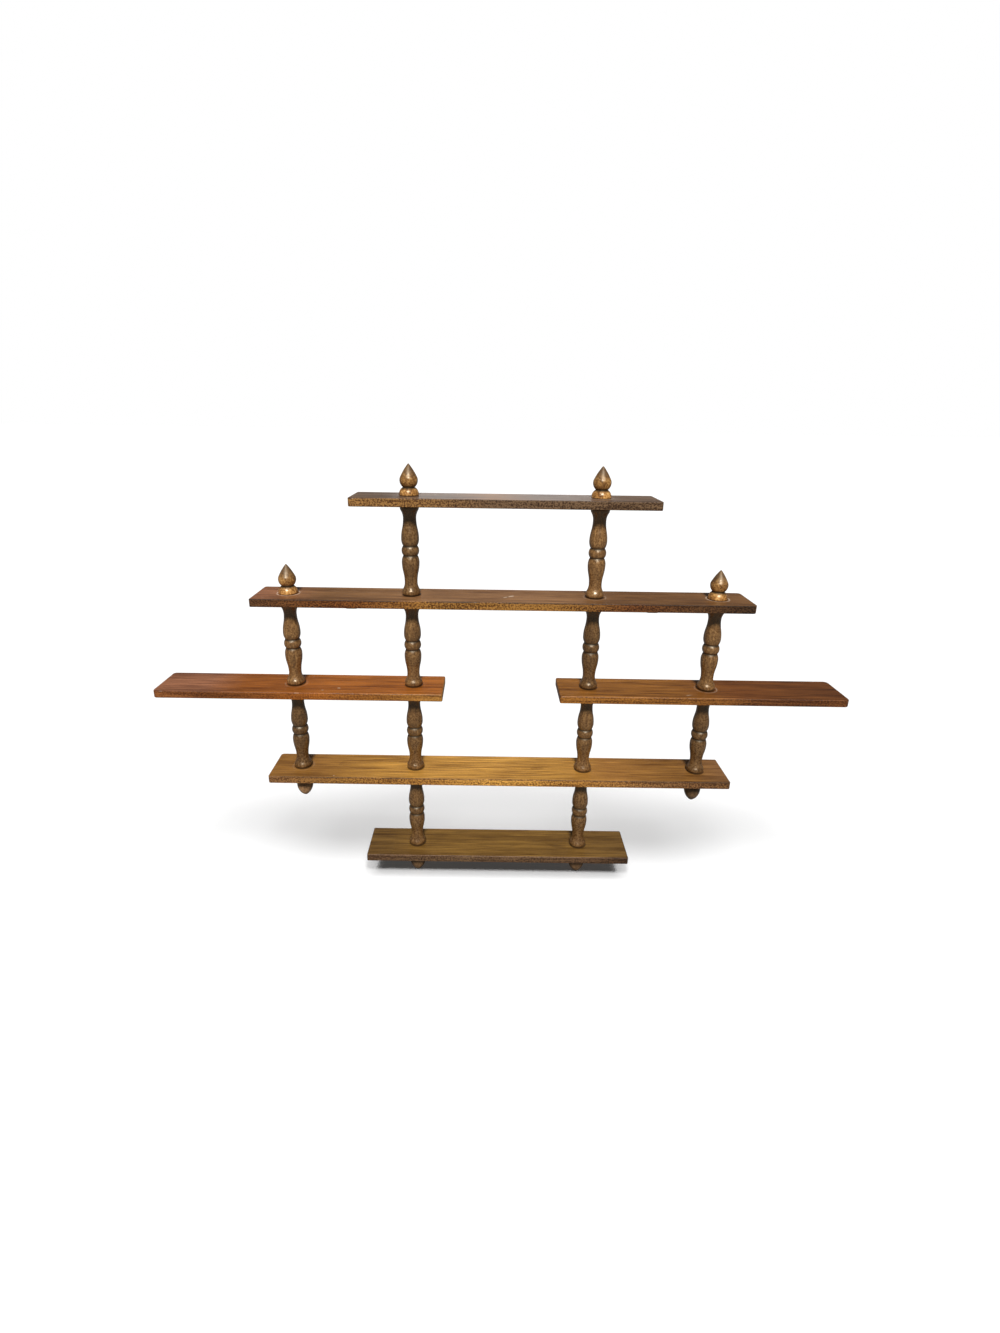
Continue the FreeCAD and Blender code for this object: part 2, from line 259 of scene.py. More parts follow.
def feed(shader, **sockets):
    # links what varies, and sets what is the same all over
    tree = shader.id_data
    for name, value in sockets.items():
        socket = shader.inputs[name.replace("_", " ")]
        if isinstance(value, Shade):
            tree.links.new(value.socket, socket)
        else:
            socket.default_value = value


# wood stains, as the boards show them
stains = {
    "espresso": (0.04, 0.019, 0.008),
    "walnut": (0.096, 0.041, 0.014),
    "bark": (0.105, 0.054, 0.025),
    "hazel": (0.135, 0.075, 0.036),
    "mahogany": (0.135, 0.046, 0.012),
    "garnet": (0.19, 0.062, 0.013),
    "chestnut": (0.17, 0.076, 0.025),
    "umber": (0.22, 0.102, 0.036),
    "tan": (0.3, 0.148, 0.062),
    "rose": (0.3, 0.12, 0.058),
    "russet": (0.3, 0.09, 0.013),
    "copper": (0.36, 0.112, 0.017),
    "sienna": (0.27, 0.104, 0.018),
    "brick": (0.3, 0.106, 0.03),
    "sand": (0.265, 0.127, 0.036),
    "ochre": (0.28, 0.125, 0.026),
    "amber": (0.38, 0.17, 0.036),
    "honey": (0.47, 0.228, 0.042),
    "golden": (0.56, 0.278, 0.054),
    "olive": (0.15, 0.078, 0.02),
    "moss": (0.21, 0.108, 0.022),
    "fawn": (0.19, 0.118, 0.075),
    "cream": (0.74, 0.6, 0.46),
}


def stainStops(plan):
    return [(share, stains[name]) for share, name in plan]


# shelf boards: sizes in millimetres
boardMake = {
    "cornerSteps": 6,
    "edgeSteps": 3,
    "lowerRound": 0.9,
    "stationGap": 20.0,
    "nickStations": (-1, -0.5, 0, 0.5, 1),
    "nickSpan": 1.6,
    "nickBand": 1.2,
    "nickLean": 0.7,
    "holeRadius": 2.6,
    "holeSides": 32,
    "drillReach": 3,
    "smoothAngle": 32,
}
# grain of the boards in metres: patches per metre along x, y and z, then detail and roughness
grain = {
    "patches": {
        "wander": (5, 16, 16, 2),
        "broad": (6, 60, 60, 2),
        "streak": (9, 400, 400, 3, 0.65),
        "dash": (26, 520, 520, 2, 0.6),
        "blotch": (15, 30, 30, 2),
        "speck": (480, 600, 540, 2, 0.6),
        "rubbed": (26, 26, 26, 2),
        "worn": (140, 140, 140, 3, 0.6),
    },
    "pithDepth": 0.05,
    "ringGap": 0.0052,
    "ringWander": 0.014,
    "ringSharpness": 5.0,
    "late": 0.16,
    "broad": 0.42,
    "streak": 1.3,
    "dash": 1.05,
    "blotch": 0.5,
    "speck": 0.15,
    "speckSpan": 0.16,
    "middle": 0.55,
    "deep": (0.34, 0.27, 0.23),
    "even": (1.0, 1.0, 1.0),
    "pale": (1.62, 1.68, 1.72),
    "gloss": 0.32,
    "roughness": 0.42,
    "streakRoughness": 0.2,
    "wornRoughness": 0.25,
    "lateHeight": -0.3,
    "bump": 0.35,
    "bumpHeight": 0.25,
}
# wear of the boards, and the painted shade round their feet: each pair says where a mark is gone and where it
# is full, in millimetres from an edge or a column's axis, and as plain numbers for rubbed, patches, scuff and
# nick
wear = {
    "edge": (1.3, 0.5),
    "top": (1.2, 0.6),
    "arrisIn": (1.4, 0.4),
    "arrisDown": (2.1, 0.7),
    "rubbed": (-0.25, 0.05),
    "footShade": (12.7, 11.9),
    "footShadeDepth": 0.75,
    "ringInside": (13.2, 14.0),
    "ringOutside": (15.8, 14.6),
    "ringShift": 0.3,
    "patches": (-0.25, 0.1),
    "scuff": (1.0, 0.3),
    "nick": (0.5, 0.15),
    "nickIn": (1.1, 0.6),
    "nickDown": (1.5, 0.8),
}
# stains lie at shares of the length from the left end; they run lighter towards the shelf's middle, partly
# the wood's own tone and partly a painted pool of light, on the top board a painted sheen
# nicks: place along the board, length, depth, bareness
# scuffs: place along and across, length, width, slant, strength
boards = {
    "shelf_top": {
        "corners": {"frontLeft": 3.2, "frontRight": 3.2, "backRight": 2.2, "backLeft": 2.2},
        "edgeRound": 0.9,
        "columns": ["inner_left", "inner_right"],
        "nicks": [(-181.0, 2.2, 0.4, 0.2), (96.0, 3.0, 0.3, 0.0)],
        "topToneAndLight": [(0.0, "fawn"), (0.32, "fawn"), (0.46, "tan"), (0.6, "fawn"), (1.0, "fawn")],
        "edgeToneAndLight": [(0.0, "sand"), (0.2, "sand"), (0.45, "hazel"), (1.0, "hazel")],
        "arris": (0.25, "espresso"),
        "contrast": 1.3,
        "speckle": 1.3,
        "rings": {"inner_right": 0.3},
        "scuffs": [],
    },
    "shelf_upper": {
        "corners": {"frontLeft": 1.6, "frontRight": 5.5, "backRight": 5.0, "backLeft": 3.4},
        "edgeRound": 0.9,
        "columns": columnNames,
        "nicks": [(-35.0, 2.5, 0.3, 0.15), (150.0, 2.0, 0.3, 0.0)],
        "topToneAndLight": [
            (0.0, "rose"),
            (0.14, "umber"),
            (0.4, "tan"),
            (0.56, "tan"),
            (0.75, "chestnut"),
            (1.0, "umber"),
        ],
        "edgeToneAndLight": [
            (0.0, "walnut"),
            (0.2, "garnet"),
            (0.36, "ochre"),
            (0.6, "ochre"),
            (0.75, "mahogany"),
            (0.88, "walnut"),
            (1.0, "espresso"),
        ],
        "arris": (0.8, "espresso"),
        "contrast": 1.3,
        "speckle": 1.3,
        "rings": {"outer_left": 0.7, "inner_right": 0.25, "outer_right": 0.6},
        "scuffs": [(3.0, -39.0, 3.2, 1.8, 0.6, 0.9), (10.5, -33.6, 4.5, 2.4, 0.6, 1.0)],
    },
    "shelf_middle_left": {
        "corners": {"frontLeft": 5.5, "frontRight": 2.3, "backRight": 2.3, "backLeft": 5.0},
        "edgeRound": 1.8,
        "columns": columnNames[:2],
        "nicks": [
            (-445.0, 2.2, 0.4, 0.45),
            (-268.0, 5.0, 0.3, 0.5),
            (-194.0, 1.4, 0.3, 0.25),
            (-176.0, 2.0, 0.3, 0.1),
        ],
        "topToneAndLight": [(0.0, "rose"), (0.17, "rose"), (0.3, "russet"), (0.75, "copper"), (1.0, "copper")],
        "edgeToneAndLight": [(0.0, "brick"), (0.2, "garnet"), (0.55, "russet"), (1.0, "amber")],
        "arris": (0.3, "mahogany"),
        "contrast": 1.15,
        "speckle": 0.42,
        "rings": {"outer_left": 0.15},
        "scuffs": [(-216.0, -47.0, 2.6, 1.3, 0.0, 0.7), (-236.0, -54.4, 1.9, 1.1, 0.0, 0.6)],
    },
    "shelf_middle_right": {
        "corners": {"frontLeft": 2.3, "frontRight": 5.5, "backRight": 6.5, "backLeft": 2.3},
        "edgeRound": 1.8,
        "columns": columnNames[2:],
        "nicks": [(79.5, 2.0, 0.5, 0.1), (246.0, 2.2, 0.3, 0.1)],
        "topToneAndLight": [(0.0, "sienna"), (0.42, "sienna"), (0.62, "garnet"), (1.0, "mahogany")],
        "edgeToneAndLight": [(0.0, "sienna"), (0.4, "sienna"), (0.7, "mahogany"), (1.0, "mahogany")],
        "arris": (0.2, "mahogany"),
        "contrast": 1.3,
        "speckle": 0.65,
        "rings": {"outer_right": 0.25},
        "scuffs": [(248.0, -54.4, 5.0, 0.8, 0.2, 0.5)],
    },
    "shelf_lower": {
        "corners": {"frontLeft": 3.2, "frontRight": 2.6, "backRight": 1.4, "backLeft": 4.4},
        "edgeRound": 0.9,
        "columns": columnNames,
        "nicks": [(-60.0, 2.5, 0.3, 0.1), (205.0, 2.0, 0.3, 0.0)],
        "topToneAndLight": [
            (0.0, "ochre"),
            (0.1, "ochre"),
            (0.24, "honey"),
            (0.5, "golden"),
            (0.64, "honey"),
            (0.74, "amber"),
            (0.9, "ochre"),
            (1.0, "umber"),
        ],
        "edgeToneAndLight": [
            (0.0, "umber"),
            (0.16, "ochre"),
            (0.34, "amber"),
            (0.5, "golden"),
            (0.66, "amber"),
            (0.86, "umber"),
            (1.0, "chestnut"),
        ],
        "arris": (0.6, "espresso"),
        "contrast": 1.1,
        "speckle": 1.2,
        "rings": {"outer_left": 0.1},
        "scuffs": [(-228.0, -59.0, 1.0, 0.8, 0.0, 0.9)],
    },
    "shelf_bottom": {
        "corners": {"frontLeft": 1.5, "frontRight": 1.5, "backRight": 2.0, "backLeft": 1.5},
        "edgeRound": 0.9,
        "columns": ["inner_left", "inner_right"],
        "nicks": [(-150.0, 2.5, 0.4, 0.1), (60.0, 3.0, 0.3, 0.1)],
        "topToneAndLight": [(0.0, "olive"), (0.3, "moss"), (0.6, "moss"), (1.0, "olive")],
        "edgeToneAndLight": [(0.0, "bark"), (0.4, "hazel"), (0.84, "bark"), (1.0, "espresso")],
        "arris": (0.2, "tan"),
        "contrast": 1.15,
        "speckle": 1.3,
        "rings": {},
        "scuffs": [],
    },
}


def shapeBoard(node):
    plan = boards[node]
    low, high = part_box(node)
    board = addBlock(low, high)
    bpy.ops.object.mode_set(mode="EDIT")
    # upright corners, each as round as wear has left it
    cornerPlaces = {
        "frontLeft": (low.x, low.y),
        "frontRight": (high.x, low.y),
        "backRight": (high.x, high.y),
        "backLeft": (low.x, high.y),
    }
    for corner, radius in plan["corners"].items():
        spot = Vector(cornerPlaces[corner])
        pickEdges(board, lambda a, b: max((a.xy - spot).length, (b.xy - spot).length) < onLine)
        bpy.ops.mesh.bevel(offset=radius * mm, segments=boardMake["cornerSteps"], affect="EDGES")
    # softened edges all round the top, then round the underside
    for level, radius in ((high.z, plan["edgeRound"]), (low.z, boardMake["lowerRound"])):
        pickEdges(board, lambda a, b: max(abs(a.z - level), abs(b.z - level)) < onLine)
        bpy.ops.mesh.bevel(offset=radius * mm, segments=boardMake["edgeSteps"], affect="EDGES")
    # stations along the board, closer together where the edge has a nick
    count = int((high.x - low.x) / (boardMake["stationGap"] * mm))
    stations = [low.x + (high.x - low.x) * step / count for step in range(1, count)]
    for x, length, *_ in plan["nicks"]:
        stations += [(x + share * boardMake["nickSpan"] * length) * mm for share in boardMake["nickStations"]]
    for station in stations:
        bpy.ops.mesh.select_all(action="SELECT")
        bpy.ops.mesh.bisect(plane_co=(station, 0, 0), plane_no=(1, 0, 0))
    for x, length, depth, _ in plan["nicks"]:
        nickEdge(board, x * mm, low.y, high.z, length * mm, depth * mm)
    bpy.ops.object.mode_set(mode="OBJECT")
    for column in plan["columns"]:
        place = (columns[column].x, columns[column].y, (high.z + low.z) / 2)
        drill(board, place, boardMake["holeRadius"] * mm, boardMake["drillReach"] * (high.z - low.z))
    return board


def nickEdge(board, x, front, top, length, depth):
    # pushes in a short stretch of the upper front edge
    edgeBand = boardMake["nickBand"] * mm
    pickPoints(
        board,
        lambda p: abs(p.x - x) < length / 2 and p.y < front + edgeBand and p.z > top - edgeBand,
    )
    bpy.ops.transform.translate(
        value=(0, boardMake["nickLean"] * depth, -depth),
        use_proportional_edit=True,
        proportional_edit_falloff="SMOOTH",
        proportional_size=boardMake["nickSpan"] * length,
    )


def drill(piece, place, radius, depth, tilt=0.0):
    # a round hole about its middle, upright unless tilted
    deselectAll()
    bpy.ops.mesh.primitive_cylinder_add(
        vertices=boardMake["holeSides"],
        radius=radius,
        depth=depth,
        location=place,
        rotation=(tilt, 0, 0),
    )
    cutAway(piece, bpy.context.object)


# housings of the two hangers in the back edge of the upper board
housing = {
    "play": 0.1,
    "overcut": 5.0,
    "pilotRadius": 1.5,
    "pilotDepth": 13.0,
    "pilotSpread": 9.0,
    "pilotHeight": 3.5,
}


def letInHanger(board, hanger):
    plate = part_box(hanger)
    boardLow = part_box("shelf_upper")[0]
    play, overcut = housing["play"] * mm, housing["overcut"] * mm
    low = Vector((plate[0].x - play, plate[0].y, boardLow.z - overcut))
    high = Vector((plate[1].x + play, overcut, plate[1].z + play))
    cutAway(board, addBlock(low, high))
    for side in (-0.5, 0.5):
        across = middleOf(hanger).x + side * housing["pilotSpread"] * mm
        place = (across, 0, boardLow.z + housing["pilotHeight"] * mm)
        drill(board, place, housing["pilotRadius"] * mm, 2 * housing["pilotDepth"] * mm, math.pi / 2)


def band(distance, ends):
    # 0 at the first of two distances in millimetres and 1 at the second
    return distance.rise(ends[0] * mm, ends[1] * mm)


def boardWood(node):
    plan = boards[node]
    low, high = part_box(node)
    material, place, shader = newFinish("wood_" + node)
    noises = place.noises(grain["patches"])
    x, y, z = place.parts()
    fromLeft, fromRight = x - low.x, high.x - x
    fromFront, fromBack = y - low.y, high.y - y
    fromTop = high.z - z
    # grain runs along the board: growth rings round a pith below it, streaks and short dashes
    pithY = y - (low.y + high.y) / 2
    pithZ = z - low.z + grain["pithDepth"]
    fromPith = (pithY * pithY + pithZ * pithZ) ** 0.5 + noises["wander"] * grain["ringWander"]
    lateWood = place.math("FRACT", fromPith / grain["ringGap"]) ** grain["ringSharpness"]
    tone = sum(noises[name] * grain[name] for name in ("broad", "streak", "dash", "blotch"))
    tone = (tone - lateWood * grain["late"]) * plan["contrast"]
    # edges and ends show short fibres as light and dark specks
    edge = band(fromFront, wear["edge"])
    for distance in (fromBack, fromLeft, fromRight):
        edge = edge.larger(band(distance, wear["edge"]))
    speck = noises["speck"].specks(grain["speckSpan"])
    tone = tone + speck * (edge * plan["speckle"] + grain["speck"])
    # the stain along the board, lighter towards the shelf's middle partly as a painted pool of light
    share = fromLeft / (high.x - low.x)
    stainAndLight = edge.blend(share.tint(stainStops(plan["topToneAndLight"])), share.tint(stainStops(plan["edgeToneAndLight"])))
    toneStops = [(0.0, grain["deep"]), (grain["middle"], grain["even"]), (1.0, grain["pale"])]
    colour = stainAndLight.times((tone + grain["middle"]).tint(toneStops))
    # the stain has gathered in a line along the upper front edge, or is rubbed pale there
    strength, arrisStain = plan["arris"]
    arris = band(fromFront, wear["arrisIn"]) * band(fromTop, wear["arrisDown"])
    arris = arris * noises["rubbed"].rise(*wear["rubbed"]) * strength
    colour = arris.blend(colour, rgba(stains[arrisStain]))
    # painted shade as dark lines round the feet, pale rubbed rings round them, scuffs on top and bare nicks
    # on the edge
    patchy = noises["worn"].rise(*wear["patches"])
    worn = footShade = 0.0
    for column in plan["columns"]:
        fromX = x - columns[column].x - wear["ringShift"] * mm
        fromY = y - columns[column].y
        away = (fromX * fromX + fromY * fromY) ** 0.5
        footShade = band(away, wear["footShade"]) + footShade
        ring = band(away, wear["ringInside"]) * band(away, wear["ringOutside"])
        worn = ring * patchy * plan["rings"].get(column, 0.0) + worn
    for scuffX, scuffY, length, width, slant, strength in plan["scuffs"]:
        offX = x - scuffX * mm
        offY = y - scuffY * mm - offX * slant
        spot = offX * offX / (length * mm) ** 2 + offY * offY / (width * mm) ** 2
        worn = spot.rise(*wear["scuff"]) * strength + worn
    onTop = band(fromTop, wear["top"])
    # painted shade: a dark line on the top round each foot, where the foot meets the board
    colour = (footShade * onTop * wear["footShadeDepth"]).blend(colour, rgba(stains["espresso"]))
    worn = worn * onTop
    onArris = band(fromFront, wear["nickIn"]) * band(fromTop, wear["nickDown"])
    for nickX, length, _, bare in plan["nicks"]:
        offX = (x - nickX * mm) / (length * mm)
        worn = (offX * offX).rise(*wear["nick"]) * onArris * bare + worn
    colour = worn.blend(colour, rgba(stains["cream"]))
    height = noises["dash"] + lateWood * grain["lateHeight"] + speck * edge
    roughness = grain["roughness"] + noises["streak"] * grain["streakRoughness"]
    feed(
        shader,
        Base_Color=colour,
        Roughness=roughness + worn * grain["wornRoughness"],
        Normal=height.bump(grain["bump"], grain["bumpHeight"]),
        Specular_IOR_Level=grain["gloss"],
    )
    return material


for boardNode in boards:
    board = shapeBoard(boardNode)
    if boardNode == "shelf_upper":
        letInHanger(board, "hanger_left")
        letInHanger(board, "hanger_right")
    finishShading(board, boardMake["smoothAngle"])
    steady = board.modifiers.new("steady", "WEIGHTED_NORMAL")
    steady.keep_sharp = True
    bpy.ops.object.modifier_apply(modifier=steady.name)
    handOver(board, boardNode, "frame", boardWood(boardNode))
    print("board shaped:", boardNode, len(board.data.polygons), "faces")


# turned pieces: outlines are (radius, height) in millimetres
lathe = {"sides": 64, "arcSteps": 8, "noseShares": (0.67, 0.33, 0.0), "smoothAngle": 38}
spindleSizes = {
    "length": 115.5,
    "bead": 11.1,
    "groove": (8.9, 6.1),
    "bulge": (11.2, 14.6),
    "neck": (8.2, 40.7),
    "flareShare": 0.75,
    "collar": (11.8, 53.6),
    "end": 9.8,
    "holeRadius": 2.45,
    "holeDepth": 16.24,
}
finialSizes = {
    "foot": 11.6,
    "collar": (12.2, 1.6),
    "groove": (7.3, 10.0),
    "bulb": (11.2, 18.4),
    "shoulder": (9.75, 23.5),
    "pointBow": 74.0,
    "tip": (0.9, 37.5),
    "height": 38.0,
    "holeRadius": 2.45,
    "holeDepth": 16.0,
}
dropSizes = {
    "bulb": (11.2, 18.4),
    "shoulder": (2.4, 35.9),
    "height": 36.6,
}


def arc(start, end, uprightAt):
    # an arc whose centre is level with the end that runs upright; leaves out its own start
    crest, other = (start, end) if uprightAt == "start" else (end, start)
    rise = other[1] - crest[1]
    run = other[0] - crest[0]
    centre = crest[0] + (run * run + rise * rise) / (2 * run)
    radius = abs(crest[0] - centre)
    angles = [math.atan2(point[1] - crest[1], point[0] - centre) for point in (start, end)]
    if centre > max(start[0], end[0]):  # a hollow, so its angles lie round a half turn
        angles = [angle % (2 * math.pi) for angle in angles]
    points = []
    for step in range(1, lathe["arcSteps"] + 1):
        angle = angles[0] + (angles[1] - angles[0]) * step / lathe["arcSteps"]
        points.append((centre + radius * math.cos(angle), crest[1] + radius * math.sin(angle)))
    return points


def between(start, end, share):
    return tuple(a + (b - a) * share for a, b in zip(start, end))


def bow(start, end, radius):
    # a shallow arc that swells outwards; leaves out its own start
    chord = math.dist(start, end)
    points = []
    for step in range(1, lathe["arcSteps"] + 1):
        share = step / lathe["arcSteps"]
        swell = math.sqrt(radius**2 - ((share - 0.5) * chord) ** 2) - math.sqrt(radius**2 - chord**2 / 4)
        x, z = between(start, end, share)
        points.append((x + swell * (end[1] - start[1]) / chord, z + swell * (start[0] - end[0]) / chord))
    return points


def nose(start, height):
    # a tip rounded about the axis; leaves out its own start
    centre = (height**2 - start[1] ** 2 - start[0] ** 2) / (2 * (height - start[1]))
    radius = height - centre
    reach = math.atan2(start[0], start[1] - centre)
    angles = [reach * share for share in lathe["noseShares"]]
    return [(radius * math.sin(angle), centre + radius * math.cos(angle)) for angle in angles]


def spindleOutline(sizes):
    half = sizes["length"] / 2
    swell = between(sizes["bulge"], sizes["neck"], 0.5)
    flare = between(sizes["neck"], sizes["collar"], sizes["flareShare"])
    stops = [
        ((sizes["bead"], 0.0), "start"),
        (sizes["groove"], "end"),
        (sizes["bulge"], "start"),
        (swell, "end"),
        (sizes["neck"], "start"),
        (flare, "end"),
        (sizes["collar"], "start"),
        ((sizes["end"], half), None),
    ]
    upper = [stops[0][0]]
    for (here, upright), (there, _) in zip(stops, stops[1:]):
        upper += arc(here, there, upright)
    floor = half - sizes["holeDepth"]
    upper += [(sizes["holeRadius"], half), (sizes["holeRadius"], floor), (0.0, floor)]
    lower = [(radius, -height) for radius, height in reversed(upper[1:])]
    return lower + upper


def footOutline(sizes):
    depth = sizes["holeDepth"]
    hole = [(0.0, depth), (sizes["holeRadius"], depth), (sizes["holeRadius"], 0.0), (sizes["foot"], 0.0)]
    collar = arc((sizes["foot"], 0.0), sizes["collar"], "end")
    return hole + collar + arc(sizes["collar"], sizes["groove"], "start")


def finialOutline(sizes):
    points = footOutline(sizes) + arc(sizes["groove"], sizes["bulb"], "end")
    points += arc(sizes["bulb"], sizes["shoulder"], "start")
    points += bow(sizes["shoulder"], sizes["tip"], sizes["pointBow"])
    return points + nose(sizes["tip"], sizes["height"])


def dropOutline(sizes, foot):
    points = footOutline(foot) + arc(foot["groove"], sizes["bulb"], "end")
    points += arc(sizes["bulb"], sizes["shoulder"], "start") + nose(sizes["shoulder"], sizes["height"])
    return [(radius, -height) for radius, height in points]


def drawOut(outline):
    # one point, drawn out along the outline; leaves the line picked in edit mode
    points = [(radius * mm, height * mm) for radius, height in outline]
    deselectAll()
    bpy.ops.mesh.primitive_plane_add(size=mm, location=(points[0][0], 0, points[0][1]))
    line = bpy.context.object
    bpy.ops.object.transform_apply(location=True, rotation=False, scale=False)
    bpy.ops.object.mode_set(mode="EDIT")
    bpy.ops.mesh.select_all(action="SELECT")
    bpy.ops.mesh.merge(type="CENTER")
    for here, there in zip(points, points[1:]):
        step = (there[0] - here[0], 0, there[1] - here[1])
        bpy.ops.mesh.extrude_vertices_move(TRANSFORM_OT_translate={"value": step})
    bpy.ops.mesh.select_all(action="SELECT")
    return line


def turnPiece(outline):
    # the outline is spun round the upright axis
    piece = drawOut(outline)
    bpy.ops.mesh.spin(steps=lathe["sides"], angle=2 * math.pi, center=(0, 0, 0), axis=(0, 0, 1))
    bpy.ops.mesh.select_all(action="SELECT")
    bpy.ops.mesh.remove_doubles(threshold=mergeGap)
    bpy.ops.mesh.normals_make_consistent(inside=False)
    bpy.ops.object.mode_set(mode="OBJECT")
    finishShading(piece, lathe["smoothAngle"])
    return piece


def markPoints(piece, name, valueAt):
    # keeps a value for each point on the mesh, by the point's height in millimetres
    mark = piece.data.attributes.new(name, "FLOAT", "POINT")
    for point, value in zip(piece.data.vertices, mark.data):
        value.value = valueAt(point.co.z / mm)


def markShadedHollows(piece, grooves):
    # how near each point lies to a turned groove or to a foot, where the colour is darkened as painted shade
    markPoints(
        piece,
        "hollow",
        lambda height: max(math.exp(-(((height - groove) / reach) ** 2)) for groove, reach in grooves),
    )


def markTip(piece, start, end):
    # how far up the point of a finial or drop each point lies
    markPoints(piece, "tip", lambda height: min(1.0, max(0.0, (height - start) / (end - start))))


def placeCopy(pattern, place, turn, tilt=0.0):
    copy = pattern.copy()
    copy.data = pattern.data.copy()
    bpy.context.scene.collection.objects.link(copy)
    makeActive(copy)
    copy.location = place
    copy.rotation_euler = (tilt, 0, turn)
    bpy.ops.object.transform_apply(location=True, rotation=True, scale=False)
    return copy


spindleFinish = {
    "dark": (0.05, 0.022, 0.008),
    "brown": (0.169, 0.082, 0.027),
    "light": (0.43, 0.237, 0.088),
    "mottle": 0.22,
    "fleck": 0.55,
    "speck": 0.3,
    "grooveShadeDepth": 0.9,
    "roughness": 0.31,
    "gloss": 1.0,
    "lacquer": 0.0,
    "tipGrey": 0.0,
    "footReach": 2.2,
    "grooveReach": 1.7,
    # each spindle a little lighter or darker, partly its own tone and partly painted light and shade
    "rows": {
        1: {"inner_left": 0.85, "inner_right": 1.3},
        2: {"outer_left": 1.22, "inner_left": 1.0, "inner_right": 0.75, "outer_right": 1.1},
        3: {"outer_left": 0.65, "inner_left": 0.85, "inner_right": 0.95, "outer_right": 0.7},
        4: {"inner_left": 0.85, "inner_right": 0.8},
    },
}
finialFinish = {
    "dark": (0.13, 0.05, 0.012),
    "brown": (0.39, 0.178, 0.046),
    "light": (0.8, 0.44, 0.14),
    "mottle": 1.4,
    "fleck": 0.7,
    "speck": 0.55,
    "grooveShadeDepth": 0.97,
    "collarToneAndHighlight": 1.1,
    "bulbDepth": 0.84,
    "roughness": 0.3,
    "gloss": 1.0,
    "lacquer": 0.0,
    "tipGrey": 0.8,
    "tipEnd": 0.8,
    "footReach": 0.7,
    "grooveReach": 2.1,
}
# the drops' wood, darker than the finials' as painted shade under the boards
dropFinish = {
    "dark": (0.1, 0.052, 0.024),
    "brown": (0.28, 0.15, 0.066),
    "light": (0.5, 0.29, 0.13),
    "mottle": 0.6,
    "fleck": 0.9,
    "speck": 0.35,
    "grooveShadeDepth": 0.7,
    "roughness": 0.36,
    "gloss": 0.5,
    "lacquer": 0.1,
    "tipGrey": 0.3,
    "footReach": 1.4,
    "grooveReach": 1.4,
    # painted light and shade: each drop lighter or darker as light reaches it under the boards
    "copyToneAndShade": {"outer_left": 1.9, "inner_left": 0.8, "inner_right": 0.8, "outer_right": 0.6},
}


# grain of the turned pieces runs up them: patches as for the boards
turnedGrain = {
    "patches": {
        "streak": (300, 300, 16, 3, 0.6),
        "fleck": (500, 500, 110, 2, 0.6),
        "mottle": (75, 75, 45, 2),
        "speck": (430, 430, 380, 2, 0.65),
        "turnMarks": (20, 20, 1400, 2),
    },
    "streak": 0.6,
    "speckSpan": 0.2,
    "stops": (0.1, 0.5, 0.95),
    "middle": 0.5,
    "tip": (0.105, 0.062, 0.033),
    "sheen": (1.0, 0.84, 0.62),
    "speckRoughness": 0.16,
    "hollowRoughness": 0.25,
    "tipRoughness": 0.22,
    "coatRoughness": 0.2,
    "speckHeight": 0.35,
    "markHeight": 0.4,
    "bump": 0.6,
    "bumpHeight": 0.3,
}


def turnedWood(name, finish):
    material, place, shader = newFinish(name)
    noises = place.noises(turnedGrain["patches"])
    fleck = noises["fleck"]
    speck = noises["speck"].specks(turnedGrain["speckSpan"])
    tone = noises["streak"] * turnedGrain["streak"] + fleck * finish["fleck"]
    tone = tone + noises["mottle"] * finish["mottle"] + speck * finish["speck"]
    toneStops = list(zip(turnedGrain["stops"], (finish["dark"], finish["brown"], finish["light"])))
    colour = (tone + turnedGrain["middle"]).tint(toneStops)
    # painted shade: darker in the grooves and round the feet
    hollow = place.attribute("hollow")
    toneAndShadeFactor = place.attribute("stained") * (1 - hollow * finish["grooveShadeDepth"])
    # each piece or copy lighter or darker, partly its own tone and partly painted light and shade
    colour = colour.times(toneAndShadeFactor.grey())
    roughness = finish["roughness"] + speck * turnedGrain["speckRoughness"]
    roughness = roughness + hollow * turnedGrain["hollowRoughness"]
    if finish["tipGrey"]:  # the point has dulled and greyed
        tip = place.attribute("tip")
        colour = (tip * finish["tipGrey"]).blend(colour, rgba(turnedGrain["tip"]))
        roughness = roughness + tip * turnedGrain["tipRoughness"]
    height = fleck + speck * turnedGrain["speckHeight"] + noises["turnMarks"] * turnedGrain["markHeight"]
    feed(
        shader,
        Base_Color=colour,
        Roughness=roughness,
        Normal=height.bump(turnedGrain["bump"], turnedGrain["bumpHeight"]),
        Coat_Weight=finish["lacquer"],
        Coat_Roughness=turnedGrain["coatRoughness"],
        Specular_IOR_Level=finish["gloss"],
        Specular_Tint=rgba(turnedGrain["sheen"]),
    )
    return material


spindleWood = turnedWood("wood_spindles", spindleFinish)
finialWood = turnedWood("wood_finials", finialFinish)
dropWood = turnedWood("wood_drops", dropFinish)

spindlePattern = turnPiece(spindleOutline(spindleSizes))
spindleGrooves = [
    (spindleSizes["groove"][1], spindleFinish["grooveReach"]),
    (spindleSizes["length"] / 2, spindleFinish["footReach"]),
]
markShadedHollows(spindlePattern, [(side * height, reach) for side in (-1, 1) for height, reach in spindleGrooves])
turnStep = math.radians(137.5)  # each copy shows another side of its grain
spindleCount = 0
for row, copyToneAndShade in spindleFinish["rows"].items():
    for column, depth in copyToneAndShade.items():
        node = f"spindle_{row}_{column}"
        spindle = placeCopy(spindlePattern, middleOf(node), turnStep * spindleCount)
        markPoints(spindle, "stained", lambda height: depth)
        handOver(spindle, node, "frame", spindleWood)
        spindleCount += 1
bpy.data.objects.remove(spindlePattern)
print("spindles turned:", spindleCount)

